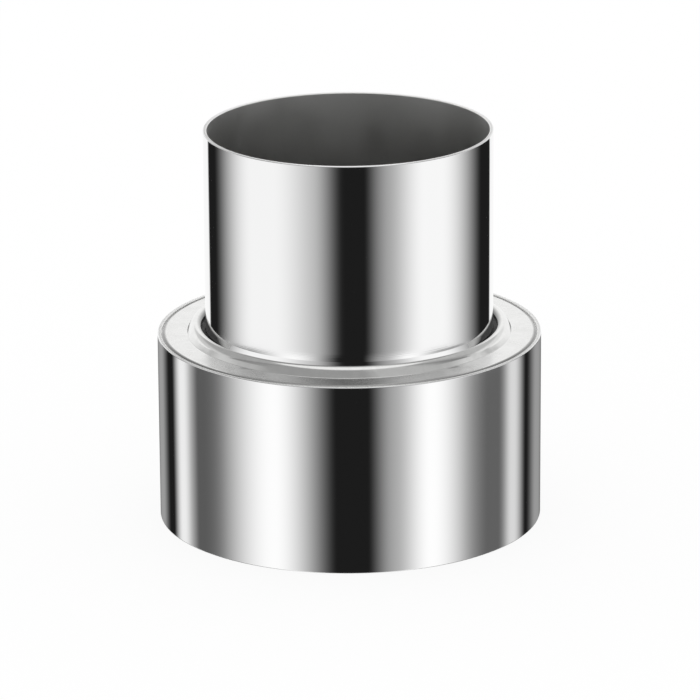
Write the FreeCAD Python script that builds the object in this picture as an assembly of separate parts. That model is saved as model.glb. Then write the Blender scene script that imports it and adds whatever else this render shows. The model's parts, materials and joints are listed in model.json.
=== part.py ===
import FreeCAD, Part
import math
import os

# A duct reducer of thin stainless sheet, standing on its wide end.
# Three formed sheets are welded into one: a wide socket tube, a flat shoulder plate set into the
# socket's top, and a narrower spigot tube that stands up through the plate.
# Millimetres. The axis is Z, and the socket's lower rim stands on z = 0.

# The sheet that all three pieces are cut from
gauge = 0.8
edge_round = 0.2  # deburred corners of a tube's rims

# Socket tube, the wide end
socket_od = 80.0
socket_height = 39.7

# Spigot tube, the narrow end
spigot_od = 60.0
spigot_stand = 43.3  # from the shoulder's face up to the spigot's rim
wall_drop = 1.0  # from the collar's crest down to where the spigot's foot starts to flare
foot_cover = 0.35  # share of the shoulder's flat underside that the spigot's foot lies on

# Shoulder plate: a raised collar round the spigot, and a skirt turned down inside the socket
collar_gap = 0.8  # open crevice between the spigot and the collar's edge
collar_height = 2.05  # the collar's crest above the shoulder's face
collar_width = 2.0  # from the crevice out to where the collar's top and flank would meet
collar_drop = 1.6  # from the crest down to the collar's cut edge, which faces down beside the spigot
collar_flank = 1.0  # how far the collar's outer flank leans out on its way down
crest_bend = 0.4  # inside radius of the two bends that make the collar's round back
toe_bend = 0.1  # inside radius of the hollow where the flank meets the flat
collar_round = 0.2  # polished corners of the collar's cut edge
skirt_bend = 0.3  # inside radius where the skirt turns down
skirt_depth = 6.0
skirt_clearance = 0.05  # between the skirt and the socket's wall

# Welds
weld_leg = 1.2  # how far a fillet weld runs out on the sheet beside an edge
weld_crown = 0.1  # how much a fillet weld's face bulges, as a share of its legs
seam_width = 1.5  # the lengthwise seam that closes each rolled tube, left proud inside
seam_height = 0.12
seam_direction = -90.0  # degrees from +X: the seams lie to the front

# Radii and levels that follow
socket_r = socket_od / 2
socket_bore_r = socket_r - gauge
spigot_r = spigot_od / 2
spigot_bore_r = spigot_r - gauge
shoulder_z = socket_height
top_z = shoulder_z + spigot_stand
skirt_r = socket_bore_r - skirt_clearance
skirt_bore_r = skirt_r - gauge
skirt_z = shoulder_z - skirt_depth
foot_z = shoulder_z - gauge
collar_r = spigot_r + collar_gap
crest_r = collar_r + collar_width
crest_z = shoulder_z + collar_height
collar_edge_z = crest_z - collar_drop
toe_r = crest_r + collar_flank
flank_angle = math.atan2(collar_height, collar_flank)
# The collar's two bends are never larger than its width has room for
crest_round = min(crest_bend + gauge, collar_width / (1 + math.tan(flank_angle / 2)))
# The plate's underside is flat from the hollow of the toe out to the skirt
flat_start_r = toe_r + toe_bend * math.tan(flank_angle / 2)
foot_r = flat_start_r + foot_cover * (skirt_bore_r - flat_start_r)
foot_weld_leg = min(weld_leg, (skirt_bore_r - foot_r) / 2)
# The spigot's wall is straight down into the crevice, and its foot flares out below that
foot_bend = crest_z - wall_drop - foot_z

# How far the flats of a bend or round may stray from its true arc, to keep the solids light
arc_error = 0.06

# A round is never more than its sheet or lip has room for
most_round = 0.45 * gauge
rim_round = min(edge_round, most_round)
lip_round = min(collar_round, most_round)

AXIS = FreeCAD.Vector(0, 0, 1)
ORIGIN = FreeCAD.Vector(0, 0, 0)


def in_section(r, z):
    """The point at radius r and height z, in the half plane that the sections are drawn in."""
    return FreeCAD.Vector(r, 0, z)


def rounded_corner(before, corner, after, radius):
    """The points that round one corner: as few flats as keep within arc_error of the true arc."""
    back = (before - corner).normalize()
    ahead = (after - corner).normalize()
    half_angle = back.getAngle(ahead) / 2
    centre = corner + (back + ahead).normalize() * (radius / math.sin(half_angle))
    first = corner + back * (radius / math.tan(half_angle)) - centre
    last = corner + ahead * (radius / math.tan(half_angle)) - centre
    turn = math.pi - 2 * half_angle
    most_turn = 2 * math.acos(1 - min(arc_error / radius, 1))
    flats = math.ceil(turn / most_turn)
    about = first.cross(last)
    steps = [FreeCAD.Rotation(about, math.degrees(turn) * i / flats) for i in range(flats + 1)]
    return [centre + step.multVec(first) for step in steps]


def section(corners):
    """A closed face in the r-z half plane, from corners (r, z, radius) with tangent rounds."""
    points = [in_section(r, z) for r, z, radius in corners]
    outline = []
    for i, (r, z, radius) in enumerate(corners):
        after = points[(i + 1) % len(points)]
        if radius > 0:
            outline += rounded_corner(points[i - 1], points[i], after, radius)
        else:
            outline.append(points[i])
    return Part.Face(Part.makePolygon(outline + outline[:1]))


def formed_sheet(face):
    """A sheet's section from its face's corners (r, z, radius); its back lies one gauge behind.

    The back is on the right of the way along the face. A corner of the back takes the face's
    radius, less one gauge where the sheet turns towards its back and more where it turns away.
    """
    points = [in_section(r, z) for r, z, _ in face]
    ways = [(end - start).normalize() for start, end in zip(points, points[1:])]
    back = []
    for i, (_, _, bend) in enumerate(face):
        before = ways[max(i - 1, 0)]
        after = ways[min(i, len(ways) - 1)]
        out_before = in_section(before.z, -before.x)
        out_after = in_section(after.z, -after.x)
        corner = points[i] + (out_before + out_after) * (gauge / (1 + out_before * out_after))
        turns_back = out_before * after
        if turns_back > 0.001:
            bend -= gauge
        elif turns_back < -0.001:
            bend += gauge
        back.append((corner.x, corner.z, bend))
    return section(face + back[::-1])


def turned(face):
    """The solid of revolution that a section sweeps about the duct's axis."""
    return face.revolve(ORIGIN, AXIS, 360)


def fillet_weld(root_r, root_z, leg_r, leg_z):
    """A weld run right round: a corner at its root, two legs along the sheets and a crowned face."""
    root = in_section(root_r, root_z)
    toe_r = in_section(root_r + leg_r, root_z)
    toe_z = in_section(root_r, root_z + leg_z)
    share = 0.5 + weld_crown
    crown = in_section(root_r + share * leg_r, root_z + share * leg_z)
    return turned(Part.Face(Part.makePolygon([root, toe_r, crown, toe_z, root])))


def lengthwise_seam(wall_r, low_z, high_z):
    """The proud bead of a rolled tube's seam, on the inside of a wall of radius wall_r."""
    half_angle = math.asin(seam_width / 2 / wall_r)
    facing = math.radians(seam_direction)
    rooted_r = wall_r + gauge / 2

    def at(radius, angle):
        return FreeCAD.Vector(radius * math.cos(angle), radius * math.sin(angle), low_z)

    toes = [at(wall_r, facing - half_angle), at(wall_r, facing + half_angle)]
    roots = [at(rooted_r, facing + half_angle), at(rooted_r, facing - half_angle)]
    edges = [
        Part.Arc(toes[0], at(wall_r - seam_height, facing), toes[1]).toShape(),
        Part.LineSegment(toes[1], roots[0]).toShape(),
        Part.LineSegment(roots[0], roots[1]).toShape(),
        Part.LineSegment(roots[1], toes[0]).toShape(),
    ]
    return Part.Face(Part.Wire(edges)).extrude(AXIS * (high_z - low_z))


def make_socket_tube():
    """The wide tube: a rolled band with its seam and, inside, the weld that holds the skirt."""
    band = turned(
        section(
            [
                (socket_r, 0, rim_round),
                (socket_r, shoulder_z, rim_round),
                (socket_bore_r, shoulder_z, rim_round),
                (socket_bore_r, 0, rim_round),
            ]
        )
    )
    weld = fillet_weld(socket_bore_r, skirt_z, -(gauge + skirt_clearance), -weld_leg)
    seam = lengthwise_seam(socket_bore_r, rim_round, skirt_z - weld_leg)
    return band.fuse([weld, seam]).removeSplitter()


def make_shoulder_plate():
    """The step: a ring that is raised round the spigot and turned down at its outer edge."""
    return turned(
        formed_sheet(
            [
                (collar_r, collar_edge_z, lip_round),
                (collar_r, crest_z, crest_round),
                (crest_r, crest_z, crest_round),
                (toe_r, shoulder_z, toe_bend),
                (skirt_r, shoulder_z, skirt_bend + gauge),
                (skirt_r, skirt_z, 0),
            ]
        )
    )


def make_spigot_tube():
    """The narrow tube: its foot flares out flat under the shoulder and is welded there."""
    tube = turned(
        formed_sheet(
            [
                (spigot_r, top_z, rim_round),
                (spigot_r, foot_z, foot_bend),
                (foot_r, foot_z, 0),
            ]
        )
    )
    weld = fillet_weld(foot_r, foot_z, foot_weld_leg, -gauge)
    seam = lengthwise_seam(spigot_bore_r, foot_z + foot_bend, top_z - rim_round)
    return tube.fuse([weld, seam]).removeSplitter()


parts = {
    "socket_tube": make_socket_tube(),
    "shoulder_plate": make_shoulder_plate(),
    "spigot_tube": make_spigot_tube(),
}

os.makedirs("parts", exist_ok=True)
for name, shape in parts.items():
    shape.exportStep(f"parts/{name}.step")
    box = shape.BoundBox
    print(
        f"{name}: {len(shape.Solids)} solid, valid {shape.isValid()}, {shape.Volume:.1f} mm3,"
        f" z {box.ZMin:.2f} to {box.ZMax:.2f}, r {box.XMax:.2f}"
    )
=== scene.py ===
# %% [markdown]
# # A stainless steel duct reducer
#
# A reducer joins a wide flue or duct pipe to a narrower one. This one is three sheets of thin
# stainless steel: a wide socket tube, a shoulder plate that closes the step, and a narrow spigot
# tube that stands up through the plate. The tubes are mirror polished outside and left satin
# inside, and the plate is satin all over.
#
# The construction is settled already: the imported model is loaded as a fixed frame, in metres, and
# what is made here takes its sizes and places from it.

# %% Load the frame
import json
import math

import bmesh
import bpy
from mathutils import Matrix, Vector


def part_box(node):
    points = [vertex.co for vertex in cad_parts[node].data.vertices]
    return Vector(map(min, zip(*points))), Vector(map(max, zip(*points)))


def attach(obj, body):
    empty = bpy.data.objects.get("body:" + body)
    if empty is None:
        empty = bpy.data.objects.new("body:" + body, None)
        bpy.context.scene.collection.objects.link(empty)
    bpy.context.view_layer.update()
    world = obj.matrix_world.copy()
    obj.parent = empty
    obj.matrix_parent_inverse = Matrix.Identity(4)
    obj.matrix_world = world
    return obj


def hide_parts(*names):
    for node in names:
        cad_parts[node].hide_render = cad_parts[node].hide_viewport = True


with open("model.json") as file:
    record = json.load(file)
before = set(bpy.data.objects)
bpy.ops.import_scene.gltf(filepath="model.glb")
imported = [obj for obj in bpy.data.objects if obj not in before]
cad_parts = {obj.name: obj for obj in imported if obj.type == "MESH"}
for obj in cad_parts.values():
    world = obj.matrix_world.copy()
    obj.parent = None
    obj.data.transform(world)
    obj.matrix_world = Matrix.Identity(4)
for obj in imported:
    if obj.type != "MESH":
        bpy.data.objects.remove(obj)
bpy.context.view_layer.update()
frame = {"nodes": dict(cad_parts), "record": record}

print("nodes in the frame:", sorted(frame["nodes"]))

# %% [markdown]
# ## The sizes
#
# The frame's record states where a pipe fits on each end, so the tubes' radii are read from there,
# and the levels from the boxes of the three sheets. The same numbers could be typed in again, but
# reading a size where it is settled is what keeps three pieces in step with each other.

# %% Sizes from the frame, in metres
MM = 0.001
mounts = {mount["name"]: mount for mount in frame["record"]["mounts"]}


def mount_radius(name):
    """The radius of one of the record's round mounts, in metres."""
    return mounts[name]["dims"]["r_mm"] * MM


socket_r = mount_radius("large_end_outside")
socket_bore_r = mount_radius("large_end_bore")
spigot_r = mount_radius("small_end_outside")
spigot_bore_r = mount_radius("small_end_bore")
gauge = socket_r - socket_bore_r
shoulder_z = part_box("socket_tube")[1].z
top_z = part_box("spigot_tube")[1].z
skirt_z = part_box("shoulder_plate")[0].z
skirt_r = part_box("shoulder_plate")[1].x
print(f"socket {socket_r / MM:.2f}, spigot {spigot_r / MM:.2f}, sheet {gauge / MM:.2f} mm")

# %% [markdown]
# What the frame doesn't state are the small shop sizes: the bends of the collar and the skirt, the
# welds, and the seams that close the rolled tubes. Each is named once here, and the radii and
# levels that follow from them are worked out below.

# %% Shop sizes
rim_round = 0.2 * MM  # deburred corners of a tube's rims
collar_gap = 0.8 * MM  # open crevice between the spigot and the collar's edge
collar_height = 2.05 * MM
collar_width = 2.0 * MM  # from the crevice out to where the collar's top and flank would meet
collar_drop = 1.6 * MM  # from the crest down to the cut edge, which faces down beside the spigot
collar_flank = 1.0 * MM  # how far the collar's flank leans out on its way down
crest_bend = 0.4 * MM  # inside radius of the two bends that make the collar's round back
toe_bend = 0.1 * MM  # inside radius of the hollow where the flank meets the flat
collar_round = 0.2 * MM  # polished corners of the collar's cut edge
skirt_bend = 0.3 * MM  # inside radius where the skirt turns down
wall_drop = 1.0 * MM  # from the crest down to where the spigot's foot starts to flare
weld_leg = 1.2 * MM
weld_crown = 0.1  # how much a weld's face bulges, as a share of its legs
seam_width = 1.5 * MM
seam_height = 0.12 * MM
seam_direction = math.radians(-90)  # the seams lie to the front, inside

collar_r = spigot_r + collar_gap
crest_r = collar_r + collar_width
toe_r = crest_r + collar_flank
foot_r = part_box("spigot_tube")[1].x - weld_leg  # the foot's edge, which its weld runs round
crest_z = shoulder_z + collar_height
collar_edge_z = crest_z - collar_drop
foot_z = shoulder_z - gauge
foot_bend = crest_z - wall_drop - foot_z
bend_z = shoulder_z - skirt_bend - gauge
print(f"shoulder {shoulder_z / MM:.2f}, collar's crest {crest_z / MM:.2f}, rim {top_z / MM:.2f} mm")

# %% [markdown]
# ## The camera
#
# The camera comes first, because every later choice is judged through it. The photograph was taken
# with a long lens from about a metre away and 17 degrees above the horizon: the ellipses of the
# three rims fix both. The lens looks a little below the shoulder, and the frame is turned by a
# third of a degree.

# %% Camera
frame_pixels = 700
sensor_width = 36.0
focal_pixels = 4966.0
camera_distance = 1.036
camera_elevation = math.radians(17.239)
camera_roll = math.radians(-0.349)
shoulder_pixel = (349.06, 328.51)  # where the middle of the shoulder's face is in the photograph
centre_pixel = (frame_pixels - 1) / 2

shoulder_middle = Vector((0, 0, shoulder_z))
towards_camera = Vector((0, -math.cos(camera_elevation), math.sin(camera_elevation)))
camera_data = bpy.data.cameras.new("studio_camera")
camera_data.sensor_width = sensor_width
camera_data.lens = focal_pixels * sensor_width / frame_pixels
camera_data.clip_start = 0.01
camera = bpy.data.objects.new("studio_camera", camera_data)
bpy.context.collection.objects.link(camera)
camera.location = shoulder_middle + camera_distance * towards_camera
# Pitch and yaw bring the shoulder's middle to its pixel, after the roll has turned the frame
across = (shoulder_pixel[0] - centre_pixel) / focal_pixels
down = (shoulder_pixel[1] - centre_pixel) / focal_pixels
yaw = across * math.cos(camera_roll) - down * math.sin(camera_roll)
pitch = across * math.sin(camera_roll) + down * math.cos(camera_roll)
facing = (-towards_camera).to_track_quat("-Z", "Y").to_matrix()
aim = Matrix.Rotation(math.atan(pitch), 3, "X") @ Matrix.Rotation(math.atan(yaw), 3, "Y")
camera.rotation_euler = (facing @ aim @ Matrix.Rotation(camera_roll, 3, "Z")).to_euler()
bpy.context.scene.camera = camera
bpy.context.scene.view_settings.view_transform = "Standard"
print(f"camera {camera_data.lens:.1f} mm, {camera_distance} m away")

# %% [markdown]
# ## Drawing a sheet's section
#
# Every piece here is a sheet turned about one axis, so it can be drawn as a small closed outline,
# its section, in the plane through the axis. A section is a few corners. Rounding a corner is a
# vertex bevel, whose profile of 0.5 is a true arc.


# %% Section
def drawn_section(corners):
    """A closed wire outline in the plane y = 0 from corners (r, z, round, segments of the round)."""
    outline = bmesh.new()
    points = [outline.verts.new((r, 0, z)) for r, z, _, _ in corners]
    outline.faces.new(points)
    for point, (_, _, radius, segments) in zip(points, corners):
        if radius > 0:
            bmesh.ops.bevel(
                outline, geom=[point], offset=radius, offset_type="OFFSET", affect="VERTICES",
                segments=segments, profile=0.5, material=-1, clamp_overlap=False,
            )
    bmesh.ops.delete(outline, geom=outline.faces[:], context="FACES_ONLY")
    return outline


# %% [markdown]
# ## Turning the section
#
# Spinning the section round the axis makes the piece. The alternative, a lathe-like Screw modifier
# on a curve, would give the same surface but leave no place to change one stretch of wall, which
# the seam of a rolled tube needs.

# %% Spin
ROUND_STEPS = 250


def spin(bm, geometry, angle, steps, merge=False):
    """Spins geometry about the duct's axis and returns the last copy of it."""
    spun = bmesh.ops.spin(
        bm, geom=geometry, cent=(0, 0, 0), axis=(0, 0, 1), angle=angle, steps=steps, use_merge=merge
    )
    return spun["geom_last"]


def turned(corners):
    """A piece of plain sheet: the section spun right round."""
    bm = drawn_section(corners)
    spin(bm, bm.verts[:] + bm.edges[:], 2 * math.pi, ROUND_STEPS, merge=True)
    bmesh.ops.recalc_face_normals(bm, faces=bm.faces)
    return bm


# %% [markdown]
# ## One gauge all the way
#
# A formed sheet keeps its thickness round every bend. So only the face of the sheet is drawn, as
# the corners that its flats would meet in, and the back is set off from it by one gauge. On the
# inner side of a bend the radius is one gauge smaller than on the outer side: the two arcs share
# their centre. A Solidify modifier could give the sheet its thickness too, but this way the section
# holds both of its faces, as a drawing of the sheet would.

# %% Back of a formed sheet
STRAIGHT_ON = 0.001  # a smaller turn than this is no bend


def back_of(face):
    """The corners of a sheet's back, one gauge to the right of the way along its face."""
    points = [Vector((r, z)) for r, z, _, _ in face]
    ways = [(end - start).normalized() for start, end in zip(points, points[1:])]
    back = []
    for i, (_, _, bend, segments) in enumerate(face):
        before, after = ways[max(i - 1, 0)], ways[min(i, len(ways) - 1)]
        out_before, out_after = Vector((before.y, -before.x)), Vector((after.y, -after.x))
        corner = points[i] + (out_before + out_after) * gauge / (1 + out_before.dot(out_after))
        turns_back = out_before.dot(after)
        if turns_back > STRAIGHT_ON:
            bend -= gauge
        elif turns_back < -STRAIGHT_ON:
            bend += gauge
        back.append((corner.x, corner.y, bend, segments))
    return back


# %% [markdown]
# ## A rolled tube and its seam
#
# A tube is a strip that was rolled round and welded edge to edge. Outside, the weld is ground and
# polished away. Inside it stays, a flat bead a millimetre and a half wide and a tenth high. So the
# spin has two legs: large steps round the tube, then small steps across the seam, whose points on
# the bore are pushed inwards by a low arch. The closing column is merged with the first one.

# %% Rolled tube
SEAM_STEPS = 10
HAIR = 0.01 * MM  # how exactly a point has to lie on the bore to count as on it
SAME_POINT = 0.001 * MM


def radius_of(point):
    """How far a point is from the duct's axis."""
    return math.hypot(point.x, point.y)


def rolled_tube(corners, bore_r):
    """A tube spun from its section, with the bead of its lengthwise seam inside the bore."""
    half_angle = math.asin(seam_width / 2 / bore_r)
    bm = drawn_section(corners)
    start = Matrix.Rotation(seam_direction + half_angle, 3, "Z")
    bmesh.ops.rotate(bm, verts=bm.verts[:], cent=(0, 0, 0), matrix=start)
    last = spin(bm, bm.verts[:] + bm.edges[:], 2 * math.pi - 2 * half_angle, ROUND_STEPS)
    spin(bm, last, 2 * half_angle, SEAM_STEPS)
    bmesh.ops.remove_doubles(bm, verts=bm.verts[:], dist=SAME_POINT)
    bmesh.ops.recalc_face_normals(bm, faces=bm.faces)
    for vert in bm.verts:
        across_seam = (math.atan2(vert.co.y, vert.co.x) - seam_direction) / half_angle
        if abs(across_seam) < 1 and abs(radius_of(vert.co) - bore_r) < HAIR:
            lift = seam_height * (1 - across_seam**2)
            shrink = (bore_r - lift) / bore_r
            bmesh.ops.scale(bm, verts=[vert], vec=(shrink, shrink, 1))
    return bm


# %% [markdown]
# ## The socket tube
#
# The wide end. Its top rim is cut square and deburred, and it stands beside the plate's skirt with
# a hair's breadth between them: that is the fine dark line inside the bright rim in the photograph.
# Inside, under the skirt, runs the fillet weld that holds the plate. Weld metal is one with the
# tube it was run on, so it is drawn in the same section: a root, two toes and a crown that bulges
# between them.

# %% Socket tube section
ARC = 6  # segments of a small round
crown_share = 0.5 + weld_crown  # how far out along both legs the crown of a weld lies
socket_weld_leg = socket_bore_r - (skirt_r - gauge)
socket_section = [
    (socket_r, 0, rim_round, ARC),
    (socket_r, shoulder_z, rim_round, ARC),
    (socket_bore_r, shoulder_z, rim_round, ARC),
    (socket_bore_r, bend_z, 0, 0),  # where the plate's bend meets the wall
    (socket_bore_r, skirt_z, 0, 0),
    (socket_bore_r - socket_weld_leg, skirt_z, 0, 0),
    (socket_bore_r - crown_share * socket_weld_leg, skirt_z - crown_share * weld_leg, 0, 0),
    (socket_bore_r, skirt_z - weld_leg, 0, 0),
    (socket_bore_r, 0, rim_round, ARC),
]
socket_mesh = rolled_tube(socket_section, socket_bore_r)
print("socket tube:", len(socket_mesh.faces), "faces")

# %% [markdown]
# ## The shoulder plate
#
# A ring that was pressed twice. Round its hole it is raised into a low collar with a round back,
# whose cut edge turns down beside the spigot. At its outer edge it is turned down into a skirt that
# slips inside the socket. Both show in the photograph only as thin bright and dark lines, and those
# lines are the bends: the crest catches the light from above, and the crevice swallows it.

# %% Shoulder plate section
BEND = 12  # segments of a wide bend
plate_face = [
    (collar_r, collar_edge_z, collar_round, ARC),
    (collar_r, crest_z, crest_bend + gauge, BEND),
    (crest_r, crest_z, crest_bend + gauge, BEND),
    (toe_r, shoulder_z, toe_bend, BEND),
    (skirt_r, shoulder_z, skirt_bend + gauge, BEND),
    (skirt_r, skirt_z, 0, 0),
]
plate_mesh = turned(plate_face + back_of(plate_face)[::-1])
print("shoulder plate:", len(plate_mesh.faces), "faces")

# %% [markdown]
# ## The spigot tube
#
# The narrow end. Below the collar its foot flares out and lies flat under the plate, where a fillet
# weld runs round the edge of it. The flare closes the ring of air under the collar from below. Its
# face and its back are written out here, because the weld takes the place of the foot's edge.

# %% Spigot tube section
spigot_face = [
    (spigot_r, top_z, rim_round, ARC),
    (spigot_r, foot_z, foot_bend, BEND),
    (foot_r + weld_leg, foot_z, 0, 0),
]
spigot_back = [
    (foot_r + crown_share * weld_leg, foot_z - crown_share * gauge, 0, 0),
    (foot_r, foot_z - gauge, 0, 0),
    (spigot_bore_r, foot_z - gauge, foot_bend + gauge, BEND),
    (spigot_bore_r, top_z, rim_round, ARC),
]
spigot_mesh = rolled_tube(spigot_face + spigot_back, spigot_bore_r)
print("spigot tube:", len(spigot_mesh.faces), "faces")

# %% [markdown]
# ## Finishes
#
# All three sheets are the same steel, so only the surface differs. A finish here is a metallic
# shader whose roughness and bump come from noise on object coordinates, stretched the way that the
# real marks run: rings round a polished tube, streaks along a rolled bore, clouds and fine grain on
# the plate. An image texture could hold the same marks, but it would need an unwrapped mesh and
# would not scale.


# %% Steel to start from
def node(tree, kind, inputs=(), **settings):
    """A new node with its settings and the values of its sockets."""
    made = tree.nodes.new(kind)
    for setting, value in settings.items():
        setattr(made, setting, value)
    for socket, value in dict(inputs).items():
        made.inputs[socket].default_value = value
    return made


def metal(name, color, roughness):
    """A stainless steel finish: its material, node tree and shader."""
    material = bpy.data.materials.new(name)
    material.use_nodes = True
    shader = material.node_tree.nodes["Principled BSDF"]
    shader.inputs["Metallic"].default_value = 1
    shader.inputs["Base Color"].default_value = (*color, 1)
    shader.inputs["Roughness"].default_value = roughness
    return material, material.node_tree, shader


# %% [markdown]
# Marks on steel do two things. They make it duller here and there, which is a roughness that varies,
# and they disturb the surface itself, which is a bump.

# %% Marks in the surface
MOST_NOISE = (0.3, 0.7)  # nearly all of the noise's values lie in this range


def marks(tree, stretch, detail=3.0, distortion=0.0):
    """Noise from 0 to 1 with so many marks per metre along X, Y and Z."""
    coordinates = node(tree, "ShaderNodeTexCoord")
    mapping = node(tree, "ShaderNodeMapping", {"Scale": stretch})
    noise = node(
        tree, "ShaderNodeTexNoise", {"Scale": 1.0, "Detail": detail, "Distortion": distortion}
    )
    tree.links.new(coordinates.outputs["Object"], mapping.inputs["Vector"])
    tree.links.new(mapping.outputs["Vector"], noise.inputs["Vector"])
    return noise.outputs["Fac"]


def ranged(tree, value, low, high, to_low, to_high):
    """Maps a value's range low to high onto another range, and holds it there."""
    made = node(
        tree, "ShaderNodeMapRange",
        {"From Min": low, "From Max": high, "To Min": to_low, "To Max": to_high},
    )
    tree.links.new(value, made.inputs["Value"])
    return made.outputs["Result"]


def uneven_roughness(tree, shader, noise, least, most):
    """Lets the roughness come and go with noise."""
    tree.links.new(ranged(tree, noise, *MOST_NOISE, least, most), shader.inputs["Roughness"])


def bump(tree, shader, height, strength, distance, under=None):
    """Lets a height disturb the shader's normal, on top of an earlier bump if there is one."""
    made = node(tree, "ShaderNodeBump", {"Strength": strength, "Distance": distance})
    tree.links.new(height, made.inputs["Height"])
    if under:
        tree.links.new(under, made.inputs["Normal"])
    tree.links.new(made.outputs["Normal"], shader.inputs["Normal"])
    return made.outputs["Normal"]


# %% [markdown]
# ## Mirror polish
#
# The outside of both tubes is buffed on a lathe. What remains are hair-fine rings and a faint haze
# that comes and goes, so the bands of light stay straight and clean but not perfectly glassy. Just
# above the crevice the wheel can't follow the wall down, and its last millimetre swells out a hair.
# Such a swelling is too slight to model, but a mirror shows it, so it is a bump that depends on the
# height.


# %% Height and sums in a shader
def height_output(tree):
    """The height above the wide end's rim, as a value in the shader."""
    coordinates = node(tree, "ShaderNodeTexCoord")
    place = node(tree, "ShaderNodeSeparateXYZ")
    tree.links.new(coordinates.outputs["Object"], place.inputs[0])
    return place.outputs["Z"]


def maths(tree, operation, first, second=0.0):
    """One sum of two numbers or values in the shader."""
    made = node(tree, "ShaderNodeMath", operation=operation)
    for index, value in enumerate((first, second)):
        if isinstance(value, (int, float)):
            made.inputs[index].default_value = value
        else:
            tree.links.new(value, made.inputs[index])
    return made.outputs[0]


# %% Mirror polished stainless
swelling_top = crest_z + 0.25 * MM
swelling_height = 0.065 * MM
polished, tree, shader = metal("mirror_polished_stainless", (0.88, 0.88, 0.88), 0.03)
haze = marks(tree, (60, 60, 60))
rings = marks(tree, (20, 20, 6000), detail=2.0)
uneven_roughness(tree, shader, haze, 0.02, 0.045)
near_crevice = ranged(tree, height_output(tree), swelling_top, crest_z - wall_drop, 0.0, 1.0)
swelling = maths(tree, "MULTIPLY", near_crevice, near_crevice)
fine_rings = bump(tree, shader, rings, 0.04, 0.00001)
bump(tree, shader, swelling, 1.0, swelling_height, under=fine_rings)
print("finish:", polished.name)

# %% [markdown]
# ## Painted crevice shade
#
# The crevice between the collar and the spigot is painted dull black down inside, as painted
# shade, and the painted shade thins out over the collar's inner edge. The spigot's foot turns pale
# again where the plate lies on it. Where the painted shade ends depends on the distance from the
# axis, so that distance is worked out in the shader.


# %% Radius and color in a shader
def radius_output(tree):
    """The distance from the duct's axis, as a value in the shader."""
    coordinates = node(tree, "ShaderNodeTexCoord")
    flattened = node(tree, "ShaderNodeVectorMath", {1: (1, 1, 0)}, operation="MULTIPLY")
    length = node(tree, "ShaderNodeVectorMath", operation="LENGTH")
    tree.links.new(coordinates.outputs["Object"], flattened.inputs[0])
    tree.links.new(flattened.outputs["Vector"], length.inputs[0])
    return length.outputs["Value"]


def color_between(tree, shader, share, color, other):
    """Gives the shader a color from one (share 0) to another (share 1)."""
    # A Mix node has sockets for every kind of value: 6 and 7 are its two colors, and output 2
    made = node(tree, "ShaderNodeMix", {6: (*color, 1), 7: (*other, 1)}, data_type="RGBA")
    tree.links.new(share, made.inputs[0])
    tree.links.new(made.outputs[2], shader.inputs["Base Color"])


# %% Painted shade in the crevice
# Painted shade: a near-black colour stands in for the shade down in the crevice
painted_shade_color = (0.02, 0.02, 0.02)
shade_fades_from, shade_gone_beyond = toe_r + 1.2 * MM, toe_r + 2.2 * MM
crevice_shade_finish, tree, shader = metal("painted_crevice_shade", painted_shade_color, 0.6)
crumbs = marks(tree, (1500, 1500, 1500), detail=2.0)
uneven_roughness(tree, shader, crumbs, 0.5, 0.7)
bump(tree, shader, crumbs, 0.4, 0.00004)
# Painted shade on the spigot's foot, near-black inside and fading to pale steel further out
out_of_painted_shade = ranged(tree, radius_output(tree), shade_fades_from, shade_gone_beyond, 0.0, 1.0)
color_between(tree, shader, out_of_painted_shade, painted_shade_color, (0.8, 0.8, 0.79))
print("finish:", crevice_shade_finish.name)

# %% [markdown]
# ## Cut edges
#
# The rims are sheared and filed, and no wheel polishes them. A file rounds an edge over towards the
# outside, and a rounded edge takes its light from above: it shows as a pale line, all the way
# round, against the bands of the wall. The file's slope is a bump too, whose height falls with the
# radius.

# %% Filed cut edge
filed_slope = 0.6
slope_reach = 0.1  # the radius, in metres, over which the bump's height falls from 1 to 0
filed, tree, shader = metal("filed_cut_edge", (0.95, 0.95, 0.94), 0.5)
file_marks = marks(tree, (3000, 3000, 800), detail=2.0)
uneven_roughness(tree, shader, file_marks, 0.44, 0.56)
falls_outwards = ranged(tree, radius_output(tree), 0.0, slope_reach, 1.0, 0.0)
rounded_over = bump(tree, shader, falls_outwards, 1.0, slope_reach * filed_slope)
bump(tree, shader, file_marks, 0.2, 0.00001, under=rounded_over)
print("finish:", filed.name)

# %% [markdown]
# ## Satin plate
# The plate keeps the mill's satin and the marks of the press and of hands: soft clouds, where the
# rolls left it duller, a fine grain and a faint mottling. Its reflections are blurred but still
# there, and sharper on the collar, which the press burnished. Painted shade darkens the collar's
# inner edge and the outer bend.

# %% Satin plate stainless
crevice_shade_width = 1.0 * MM
groove_start, groove_full = skirt_r - 0.9 * MM, skirt_r - 0.45 * MM
burnished_to, satin_from = toe_r - 0.1 * MM, toe_r + 0.6 * MM
satin, tree, shader = metal("satin_plate_stainless", (0.83, 0.83, 0.82), 0.26)
radius = radius_output(tree)
clouds = marks(tree, (150, 150, 150), detail=4.0, distortion=0.5)
grain = marks(tree, (2500, 2500, 2500), detail=2.0)
mottling = marks(tree, (400, 400, 400), detail=3.0, distortion=1.0)
burnished = ranged(tree, radius, burnished_to, satin_from, 0.5, 1.0)
dullness = maths(tree, "MULTIPLY", ranged(tree, clouds, *MOST_NOISE, 0.2, 0.32), burnished)
tree.links.new(dullness, shader.inputs["Roughness"])
bump(tree, shader, grain, 0.1, 0.00002)
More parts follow.
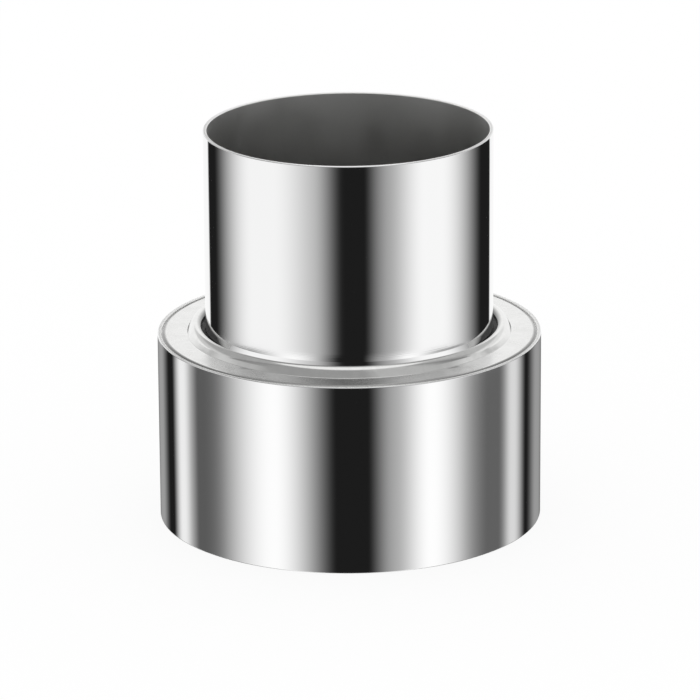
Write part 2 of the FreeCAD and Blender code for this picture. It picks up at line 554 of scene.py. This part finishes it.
# Painted shade darkens the collar's inner edge and the outer bend; the mottling is the plate's own
# tone
out_of_crevice_shade = ranged(tree, radius, collar_r, collar_r + crevice_shade_width, 0.0, 1.0)
groove_shade = ranged(tree, radius, groove_start, groove_full, 1.0, 0.3)
mottled = ranged(tree, mottling, *MOST_NOISE, 0.93, 1.0)
mottling_and_painted_shade = maths(tree, "MULTIPLY", maths(tree, "MULTIPLY", out_of_crevice_shade, groove_shade), mottled)
color_between(tree, shader, mottling_and_painted_shade, painted_shade_color, (0.85, 0.85, 0.84))
print("finish:", satin.name)

# %% [markdown]
# ## Mill finish in the bores
#
# Nobody polishes the inside of a duct. The rolled sheet is duller there, with clouds and faint
# streaks along the rolling direction, which runs round the tube. Its colour is painted darker
# further in from the mouth, as painted shade.

# %% Mill finish bore
bore_shade_depth = 19 * MM
mill, tree, shader = metal("mill_finish_bore", (0.9, 0.9, 0.89), 0.4)
clouds = marks(tree, (120, 120, 80), detail=4.0)
streaks = marks(tree, (50, 50, 1800), detail=2.0)
uneven_roughness(tree, shader, clouds, 0.34, 0.46)
bump(tree, shader, streaks, 0.05, 0.00001)
# Painted shade: the bore's colour grows darker further in from the mouth
lit_near_mouth = ranged(tree, height_output(tree), top_z - bore_shade_depth, top_z, 0.0, 1.0)
color_between(tree, shader, lit_near_mouth, (0.42, 0.42, 0.41), (0.92, 0.92, 0.91))
print("finish:", mill.name)

# %% [markdown]
# ## Weld metal
#
# A weld run freezes in small ripples and keeps a faint straw tint from the heat. It is only seen
# from below, but a reducer is picked up and turned over.

# %% Weld metal
weld_metal, tree, shader = metal("tinted_weld_metal", (0.62, 0.58, 0.52), 0.34)
ripples = marks(tree, (900, 900, 300), detail=1.0)
uneven_roughness(tree, shader, ripples, 0.28, 0.42)
bump(tree, shader, ripples, 0.5, 0.0001)
print("finish:", weld_metal.name)

# %% [markdown]
# ## From meshes to pieces
#
# Each piece takes the place of its solid in the frame. Its faces are smooth except at real corners,
# and weighted normals keep the long walls truly straight right up to the bends. A Bevel modifier
# could soften the corners as well, but every round is already in the section.

# %% Finished piece
SHARP_CORNER = math.radians(35)


def finished_piece(bm, name, node_name, finishes, finish_of):
    """Makes the piece's object, gives each face its finish, and puts it in its node's place."""
    for face in bm.faces:
        face.smooth = True
        face.material_index = finish_of(face.calc_center_median())
    mesh = bpy.data.meshes.new(name)
    bm.to_mesh(mesh)
    bm.free()
    mesh.set_sharp_from_angle(angle=SHARP_CORNER)
    for finish in finishes:
        mesh.materials.append(finish)
    piece = bpy.data.objects.new(name, mesh)
    bpy.context.collection.objects.link(piece)
    weighted = piece.modifiers.new("flat_walls_keep_their_normals", "WEIGHTED_NORMAL")
    weighted.keep_sharp = True
    weighted.weight = 100
    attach(piece, "root")
    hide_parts(node_name)
    print(f"{name}: {len(mesh.polygons)} faces")
    return piece


# %% [markdown]
# ## The socket tube and the plate
#
# Which finish a face gets follows from where it is: outside or in the bore, on a rim or on a weld.
# The faces could be picked by hand as in the editor, but a rule holds when a size changes.

# %% Socket and plate pieces
POLISHED, MILL, WELD, FILED, PAINTED_SHADE = range(5)  # a finish's place in the lists below


def socket_finish(centre):
    """Polished outside, filed on the rims, weld metal on the weld run, mill finish inside."""
    r = radius_of(centre)
    if r > socket_r - rim_round:
        return POLISHED
    if centre.z > bend_z or centre.z < rim_round:
        return FILED
    return WELD if centre.z > skirt_z - weld_leg and r < socket_bore_r - HAIR else MILL


socket = finished_piece(
    socket_mesh, "polished_socket", "socket_tube",
    [polished, mill, weld_metal, filed], socket_finish,
)
plate = finished_piece(
    plate_mesh, "satin_shoulder", "shoulder_plate", [satin], lambda centre: 0,
)

# %% [markdown]
# ## The spigot tube
#
# The spigot has one finish more: the painted shade on its flared foot, which is the bottom of the
# crevice. The flare's two faces are told apart by their distance from the centre of the bend.


# %% Spigot piece
def spigot_finish(centre):
    """As the socket's, and painted shade on the upper face of the flared foot."""
    r, up = radius_of(centre), centre.z - foot_z - foot_bend
    if r > foot_r:
        return WELD
    if centre.z > top_z - rim_round and r < spigot_r - rim_round:
        return FILED
    if up > 0:
        return MILL if r < spigot_r - gauge / 2 else POLISHED
    out = r - spigot_r - foot_bend
    if out < 0:
        on_top = math.hypot(out, up) < foot_bend + gauge / 2
    else:
        on_top = centre.z > foot_z - gauge / 2
    # The flared foot's upper face gets the painted crevice shade
    return PAINTED_SHADE if on_top else MILL


spigot = finished_piece(
    spigot_mesh, "polished_spigot", "spigot_tube",
    [polished, mill, weld_metal, filed, crevice_shade_finish], spigot_finish,
)

# %% [markdown]
# ## What the mirrors leave out
#
# In the photograph the spigot's bands run straight down into the crevice, as if the tube did not
# mirror the plate that it stands in. So reflections pass by the plate and the socket, which changes
# nothing about how these two look themselves. To let everything mirror everything would be truer to
# the metal, but it draws a second, upside-down collar on the spigot that the photograph doesn't
# have.

# %% Left out of reflections
for left_out in (plate, socket):
    left_out.visible_glossy = False
print("not mirrored in", spigot.name, "or each other:", plate.name, socket.name)

# %% [markdown]
# ## The world
#
# The reducer stands in a white room, so the world is plain white at strength 1. Lamps would light
# it as well, but they leave bright spots on a mirror, and the photograph has none.

# %% White world
world = bpy.data.worlds.new("white_studio")
bpy.context.scene.world = world
world.use_nodes = True
world.node_tree.nodes["Background"].inputs["Color"].default_value = (1, 1, 1, 1)
world.node_tree.nodes["Background"].inputs["Strength"].default_value = 1
world.cycles.sampling_method = "NONE"
print("world:", world.name)

# %% [markdown]
# ## The floor
#
# The floor is white paper. To the camera it glows a little, so that it meets the white background
# without an edge and keeps only the faint shadow of the reducer. It stays out of the reflections,
# because the cards below stand for all that the polished steel sees.

# %% Floor of glowing paper
floor_size = 20
glow_share = 0.85


def stage_object(bm, name, material):
    """A piece of the studio: part of the picture, not of the object."""
    mesh = bpy.data.meshes.new(name)
    bm.to_mesh(mesh)
    bm.free()
    mesh.materials.append(material)
    made = bpy.data.objects.new(name, mesh)
    bpy.context.collection.objects.link(made)
    return made


paper = bpy.data.materials.new("white_paper")
paper.use_nodes = True
tree = paper.node_tree
tree.nodes.clear()
output = node(tree, "ShaderNodeOutputMaterial")
mixed = node(tree, "ShaderNodeMixShader")
diffuse = node(tree, "ShaderNodeBsdfDiffuse", {"Color": (1, 1, 1, 1)})
glow = node(tree, "ShaderNodeEmission", {"Color": (1, 1, 1, 1), "Strength": 1.0})
path = node(tree, "ShaderNodeLightPath")
seen_glow = maths(tree, "MULTIPLY", path.outputs["Is Camera Ray"], glow_share)
tree.links.new(seen_glow, mixed.inputs[0])
tree.links.new(diffuse.outputs[0], mixed.inputs[1])
tree.links.new(glow.outputs[0], mixed.inputs[2])
tree.links.new(mixed.outputs[0], output.inputs["Surface"])
floor_mesh = bmesh.new()
bmesh.ops.create_grid(floor_mesh, x_segments=1, y_segments=1, size=floor_size)
floor = stage_object(floor_mesh, "floor", paper)
floor.visible_glossy = False
print("floor:", floor.name)

# %% [markdown]
# ## Two discs in the duct
#
# The glowing floor would also glow where it is seen through the duct. So a disc of plain paper lies
# on it inside the socket. The spigot's bore mirrors what is below it, and because the reflections
# pass by the socket, a black card closes the spigot's foot to them. Only reflections see it.

# %% Discs inside the duct
CARD_SEGMENTS = 64
paper_lift = 0.02 * MM


def matt(name, grey, shine):
    """A plain rough material, with more or less of the faint shine of paint."""
    material = bpy.data.materials.new(name)
    material.use_nodes = True
    shader = material.node_tree.nodes["Principled BSDF"]
    shader.inputs["Base Color"].default_value = (grey, grey, grey, 1)
    shader.inputs["Roughness"].default_value = 0.9
    shader.inputs["Specular IOR Level"].default_value = shine
    return material


def disc(name, radius, height, material):
    """A flat round card on the duct's axis."""
    bm = bmesh.new()
    bmesh.ops.create_circle(bm, cap_ends=True, radius=radius, segments=CARD_SEGMENTS)
    bmesh.ops.translate(bm, verts=bm.verts[:], vec=(0, 0, height))
    return stage_object(bm, name, material)


def leave_to_reflections(card):
    """Hides a piece of the stage from all but the reflections."""
    card.visible_camera = False
    card.visible_diffuse = False
    card.visible_shadow = False
    card.visible_transmission = False


plain_paper = matt("paper_under_the_duct", 0.8, 0.0)
shade = disc("floor_inside_socket", socket_bore_r, paper_lift, plain_paper)
black_card = matt("black_card", 0.01, 0.5)
darkness = disc("dark_card_below_spigot", spigot_bore_r, foot_z - 2 * gauge, black_card)
leave_to_reflections(darkness)
print("discs:", shade.name, darkness.name)

# %% [markdown]
# ## Reflection cards
#
# Polished tubes show nothing but what stands round them. A photographer sets soft boxes and black
# cards there, and each one becomes an upright band on the tube. Here they are drawn on a screen, a
# cylinder that only reflections can see, so the object itself stays in plain light. Real lamps and
# planes could do it too, but a band is easier to place as an angle on one round screen.
#
# The screen's light is worked out from the place on it: the height, and the angle from the front.

# %% Screen material
card_light = bpy.data.materials.new("card_light")
card_light.use_nodes = True
card_light.cycles.emission_sampling = "NONE"
tree = card_light.node_tree
tree.nodes.clear()
output = node(tree, "ShaderNodeOutputMaterial")
emission = node(tree, "ShaderNodeEmission")
coordinates = node(tree, "ShaderNodeTexCoord")
place = node(tree, "ShaderNodeSeparateXYZ")
tree.links.new(coordinates.outputs["Object"], place.inputs[0])

towards_front = maths(tree, "MULTIPLY", place.outputs["Y"], -1.0)
angle_from_front = maths(tree, "ARCTAN2", place.outputs["X"], towards_front)
to_the_right = maths(tree, "MULTIPLY", angle_from_front, 180 / math.pi)
angles = {"right": to_the_right, "left": maths(tree, "MULTIPLY", to_the_right, -1.0)}
# 1 in front and 0 at the back: the cosine of half the angle
frontness = maths(tree, "COSINE", maths(tree, "MULTIPLY", to_the_right, math.pi / 360))
print("angles:", ", ".join(angles))

# %% [markdown]
# ## Cards and tiers
#
# A card has an angle where it starts, one from which it is full, one up to which it is full, one
# where it ends, and a brightness. The angles are degrees from the front, counted separately to the
# left and to the right, and the edges are feathered. A brightness below zero is a black card, which
# takes light away.
#
# The screen has tiers, one above the other, because each sheet sees another height of it. The edge
# between two tiers may slant: it has a height at the back, rises or falls towards the front, and
# can be held between a lowest and a highest level.


# %% Cards and tiers in the shader
def feathered(value, dark, bright):
    """0 on the dark side, 1 on the bright side, with a soft edge between."""
    made = node(
        tree, "ShaderNodeMapRange", {"From Min": dark, "From Max": bright},
        interpolation_type="SMOOTHSTEP",
    )
    tree.links.new(value, made.inputs["Value"])
    return made.outputs["Result"]


def tier_light(cards, dimmest):
    """The light of one tier: its dimmest light and all its cards."""
    total = dimmest
    for side, angle in angles.items():
        for start, full_from, full_to, end, brightness in cards[side]:
            rises = feathered(angle, start, full_from)
            falls = feathered(angle, end, full_to)
            card = maths(tree, "MULTIPLY", rises, falls)
            total = maths(tree, "ADD", total, maths(tree, "MULTIPLY", card, brightness))
    return total


def tier_above(lower, upper, softness, at_back, rise=0.0, lowest=-1.0, highest=1.0):
    """Goes from the light below an edge to the light of the tier above it."""
    slanted = maths(tree, "ADD", maths(tree, "MULTIPLY", frontness, rise), at_back)
    edge = maths(tree, "MINIMUM", maths(tree, "MAXIMUM", slanted, lowest), highest)
    over = maths(tree, "SUBTRACT", place.outputs["Z"], edge)
    # Of a Mix node's sockets, 2 and 3 are its two numbers
    mix = node(tree, "ShaderNodeMix", data_type="FLOAT")
    tree.links.new(feathered(over, -softness, softness), mix.inputs[0])
    for index, light_there in ((2, lower), (3, upper)):
        if isinstance(light_there, float):
            mix.inputs[index].default_value = light_there
        else:
            tree.links.new(light_there, mix.inputs[index])
    return mix.outputs[0]


# %% [markdown]
# ## What the tubes see
#
# The two lowest tiers make the bands of the tubes: the socket tube sees the lowest one, and the
# spigot the one above it. The black band in the middle is the gap between the cards to the left and
# to the right, where the camera stands.

# %% Socket and spigot tiers
tube_light = 0.013
socket_cards = {
    "left": [
        (7, 43, 44, 93, 1.1),
        (76, 92, 100, 106, 0.1),
        (97, 113, 115, 127, 0.93),
        (132, 148, 152, 180, 0.34),
    ],
    "right": [
        (9.5, 26, 47, 86, 0.42),
        (23, 46, 47, 86, 0.69),
        (68, 84, 94, 102, 0.12),
        (94, 108, 110, 125, 0.75),
        (126, 144, 148, 180, 0.33),
    ],
}
spigot_cards = {
    "left": [(3.5, 27, 78, 128, 0.36), (7, 60, 78, 128, 0.65), (140, 144, 180, 181, 1.0)],
    "right": [(11, 30, 74, 126, 0.36), (24, 60, 74, 126, 0.68), (144, 148, 180, 181, 1.0)],
}
light = tier_light(socket_cards, tube_light)
light = tier_above(
    light, tier_light(spigot_cards, tube_light), softness=0.0003, at_back=-0.0529, rise=0.0109,
)
print("bands of the tubes:", len(tree.nodes), "nodes")

# %% [markdown]
# ## What the plate and the collar see
#
# The flat plate sees the next tier, by way of the spigot's wall, and the collar's flank the one
# overhead. That one hangs lower at the back, because the flank leans outwards and looks at another
# height on each side of the duct.

# %% Plate and overhead tiers
plate_light = 0.17
plate_cards = {
    "left": [(4, 60, 180, 181, 0.38), (75, 95, 180, 181, 0.22)],
    "right": [(5, 50, 180, 181, 0.39), (72, 90, 180, 181, 0.3)],
}
overhead_light = 0.36
overhead_cards = {
    "left": [(60, 90, 100, 112, -0.1), (110, 114, 180, 181, 0.64)],
    "right": [(10, 24, 50, 80, 0.17), (60, 90, 100, 112, -0.12), (110, 114, 180, 181, 0.64)],
}
light = tier_above(light, tier_light(plate_cards, plate_light), softness=0.015, at_back=0.09)
light = tier_above(
    light, tier_light(overhead_cards, overhead_light),
    softness=0.006, at_back=-0.09, rise=0.325, highest=0.175,
)
print("with the plate's and the flank's light:", len(tree.nodes), "nodes")

# %% [markdown]
# ## Behind the reducer, and the ceiling
#
# The tiers at the rear and to the sides begin only behind the reducer, for the plate's flat and the
# collar's crest. Over all of it is the white ceiling.

# %% Rear, side and ceiling tiers
rear_light = 0.68
rear_cards = {
    "left": [(150, 162, 180, 181, 0.32)],
    "right": [(98, 106, 180, 181, 0.18), (150, 162, 180, 181, 0.14)],
}
side_light = 0.42
side_cards = {
    "left": [(150, 162, 180, 181, 0.6)],
    "right": [(95, 105, 180, 181, 0.12), (150, 162, 180, 181, 0.48)],
}
ceiling_light = 1.0
light = tier_above(
    light, tier_light(rear_cards, rear_light), softness=0.006, at_back=-2.6, rise=4.0, lowest=0.115,
)
light = tier_above(
    light, tier_light(side_cards, side_light), softness=0.02, at_back=-2.6, rise=4.0, lowest=0.18,
)
light = tier_above(light, ceiling_light, softness=0.08, at_back=0.65)
tree.links.new(light, emission.inputs["Strength"])
tree.links.new(emission.outputs[0], output.inputs["Surface"])
print("screen material:", len(tree.nodes), "nodes")

# %% [markdown]
# ## The screen
#
# The screen is a circle of edges drawn up into an open cylinder, wide enough to stand well away
# from the reducer. A closed box would do too, but its corners would show as breaks in the bands.

# %% Screen
screen_r = 0.3
screen_reach = 0.8  # how far it reaches down and up
SCREEN_SEGMENTS = 256
screen_mesh = bmesh.new()
bmesh.ops.create_circle(screen_mesh, cap_ends=False, radius=screen_r, segments=SCREEN_SEGMENTS)
bmesh.ops.translate(screen_mesh, verts=screen_mesh.verts[:], vec=(0, 0, -screen_reach))
raised = bmesh.ops.extrude_edge_only(screen_mesh, edges=screen_mesh.edges[:])["geom"]
raised_verts = [part for part in raised if isinstance(part, bmesh.types.BMVert)]
bmesh.ops.translate(screen_mesh, verts=raised_verts, vec=(0, 0, 2 * screen_reach))
screen = stage_object(screen_mesh, "reflection_screen", card_light)
leave_to_reflections(screen)
print("screen:", screen_r, "m away")
